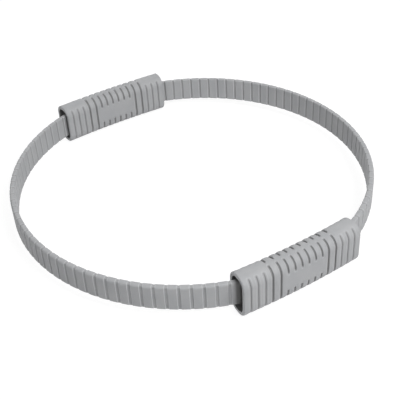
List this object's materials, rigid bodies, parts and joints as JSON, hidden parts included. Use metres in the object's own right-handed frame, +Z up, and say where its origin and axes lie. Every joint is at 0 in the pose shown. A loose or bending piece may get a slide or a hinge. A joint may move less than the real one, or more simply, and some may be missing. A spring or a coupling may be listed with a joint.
{
  "type": "pilates ring",
  "caption": "Flexible exercise ring: a ribbed, soft-covered spring band with hollow grooved grips on opposite sides, squeezed between the hands or legs.",
  "frame": {"origin": "ring's own axis, on the surface that the grips stand on", "axes": "+Z up along the ring's axis, +Y from the front grip towards the rear grip, +X to the right"},
  "size_m": [0.3794, 0.3866, 0.0446],
  "materials": {
    "cover_rubber": "matte moulded soft cover, grey",
    "grip_rubber": "matte moulded soft grip, light grey",
    "spring_steel": "blued rolled spring steel",
    "saddle_nylon": "black moulded nylon",
    "clamp_steel": "zinc-plated steel"
  },
  "bodies": {
    "rear_grip": {"rear_grip_sleeve": "grip_rubber", "rear_saddle": "saddle_nylon", "rear_clamp_plate": "clamp_steel", "rear_clamp_screws": "clamp_steel", "rear_clamp_nuts": "clamp_steel", "inner_spring_strip": "spring_steel", "outer_spring_strip": "spring_steel"},
    "front_grip": {"front_grip_sleeve": "grip_rubber", "front_saddle": "saddle_nylon", "front_clamp_plate": "clamp_steel", "front_clamp_screws": "clamp_steel", "front_clamp_nuts": "clamp_steel"},
    "left_cover_1": {"left_cover_1": "cover_rubber"},
    "left_cover_2": {"left_cover_2": "cover_rubber"},
    "left_cover_3": {"left_cover_3": "cover_rubber"},
    "left_cover_4": {"left_cover_4": "cover_rubber"},
    "left_cover_5": {"left_cover_5": "cover_rubber"},
    "left_cover_6": {"left_cover_6": "cover_rubber"},
    "left_cover_7": {"left_cover_7": "cover_rubber"},
    "left_cover_8": {"left_cover_8": "cover_rubber"},
    "right_cover_1": {"right_cover_1": "cover_rubber"},
    "right_cover_2": {"right_cover_2": "cover_rubber"},
    "right_cover_3": {"right_cover_3": "cover_rubber"},
    "right_cover_4": {"right_cover_4": "cover_rubber"},
    "right_cover_5": {"right_cover_5": "cover_rubber"},
    "right_cover_6": {"right_cover_6": "cover_rubber"},
    "right_cover_7": {"right_cover_7": "cover_rubber"},
    "right_cover_8": {"right_cover_8": "cover_rubber"}
  },
  "joints": [
    {"name": "squeeze", "type": "hinge", "parent": "rear_grip", "child": "left_cover_1", "pos_m": [-0.02732, 0.18499, 0.0223], "axis": [0, 0, -1], "range_deg": [-1.5, 10], "stiffness_Nm_per_rad": 250, "deforming": ["inner_spring_strip", "outer_spring_strip"]},
    {"name": "left_bend_2", "type": "hinge", "parent": "left_cover_1", "child": "left_cover_2", "pos_m": [-0.09009, 0.16387, 0.0223], "axis": [0, 0, -1], "range_deg": [-1.41, 9.34]},
    {"name": "left_bend_3", "type": "hinge", "parent": "left_cover_2", "child": "left_cover_3", "pos_m": [-0.14156, 0.12219, 0.0223], "axis": [0, 0, -1], "range_deg": [-2.54, 0.38]},
    {"name": "left_bend_4", "type": "hinge", "parent": "left_cover_3", "child": "left_cover_4", "pos_m": [-0.17527, 0.06518, 0.0223], "axis": [0, 0, -1], "range_deg": [-10.31, 1.55]},
    {"name": "left_bend_5", "type": "hinge", "parent": "left_cover_4", "child": "left_cover_5", "pos_m": [-0.187, 0, 0.0223], "axis": [0, 0, -1], "range_deg": [-13.01, 1.96]},
    {"name": "left_bend_6", "type": "hinge", "parent": "left_cover_5", "child": "left_cover_6", "pos_m": [-0.17527, -0.06518, 0.0223], "axis": [0, 0, -1], "range_deg": [-10.31, 1.55]},
    {"name": "left_bend_7", "type": "hinge", "parent": "left_cover_6", "child": "left_cover_7", "pos_m": [-0.14156, -0.12219, 0.0223], "axis": [0, 0, -1], "range_deg": [-2.54, 0.38]},
    {"name": "left_bend_8", "type": "hinge", "parent": "left_cover_7", "child": "left_cover_8", "pos_m": [-0.09009, -0.16387, 0.0223], "axis": [0, 0, -1], "range_deg": [-1.41, 9.34]},
    {"name": "left_bend_9", "type": "hinge", "parent": "left_cover_8", "child": "front_grip", "pos_m": [-0.02732, -0.18499, 0.0223], "axis": [0, 0, -1], "range_deg": [-1.5, 10]},
    {"name": "right_bend_1", "type": "hinge", "parent": "rear_grip", "child": "right_cover_1", "pos_m": [0.02732, 0.18499, 0.0223], "axis": [0, 0, 1], "range_deg": [-1.5, 10]},
    {"name": "right_bend_2", "type": "hinge", "parent": "right_cover_1", "child": "right_cover_2", "pos_m": [0.09009, 0.16387, 0.0223], "axis": [0, 0, 1], "range_deg": [-1.41, 9.34]},
    {"name": "right_bend_3", "type": "hinge", "parent": "right_cover_2", "child": "right_cover_3", "pos_m": [0.14156, 0.12219, 0.0223], "axis": [0, 0, 1], "range_deg": [-2.54, 0.38]},
    {"name": "right_bend_4", "type": "hinge", "parent": "right_cover_3", "child": "right_cover_4", "pos_m": [0.17527, 0.06518, 0.0223], "axis": [0, 0, 1], "range_deg": [-10.31, 1.55]},
    {"name": "right_bend_5", "type": "hinge", "parent": "right_cover_4", "child": "right_cover_5", "pos_m": [0.187, 0, 0.0223], "axis": [0, 0, 1], "range_deg": [-13.01, 1.96]},
    {"name": "right_bend_6", "type": "hinge", "parent": "right_cover_5", "child": "right_cover_6", "pos_m": [0.17527, -0.06518, 0.0223], "axis": [0, 0, 1], "range_deg": [-10.31, 1.55]},
    {"name": "right_bend_7", "type": "hinge", "parent": "right_cover_6", "child": "right_cover_7", "pos_m": [0.14156, -0.12219, 0.0223], "axis": [0, 0, 1], "range_deg": [-2.54, 0.38]},
    {"name": "right_bend_8", "type": "hinge", "parent": "right_cover_7", "child": "right_cover_8", "pos_m": [0.09009, -0.16387, 0.0223], "axis": [0, 0, 1], "range_deg": [-1.41, 9.34]}
  ],
  "couplings": [
    {"joint": "left_bend_2", "follows": "squeeze", "ratio": 0.93355},
    {"joint": "left_bend_3", "follows": "squeeze", "ratio": -0.25301},
    {"joint": "left_bend_4", "follows": "squeeze", "ratio": -1.0302},
    {"joint": "left_bend_5", "follows": "squeeze", "ratio": -1.3006},
    {"joint": "left_bend_6", "follows": "squeeze", "ratio": -1.0302},
    {"joint": "left_bend_7", "follows": "squeeze", "ratio": -0.25301},
    {"joint": "left_bend_8", "follows": "squeeze", "ratio": 0.93355},
    {"joint": "left_bend_9", "follows": "squeeze", "ratio": 1},
    {"joint": "right_bend_1", "follows": "squeeze", "ratio": 1},
    {"joint": "right_bend_2", "follows": "squeeze", "ratio": 0.93355},
    {"joint": "right_bend_3", "follows": "squeeze", "ratio": -0.25301},
    {"joint": "right_bend_4", "follows": "squeeze", "ratio": -1.0302},
    {"joint": "right_bend_5", "follows": "squeeze", "ratio": -1.3006},
    {"joint": "right_bend_6", "follows": "squeeze", "ratio": -1.0302},
    {"joint": "right_bend_7", "follows": "squeeze", "ratio": -0.25301},
    {"joint": "right_bend_8", "follows": "squeeze", "ratio": 0.93355}
  ]
}
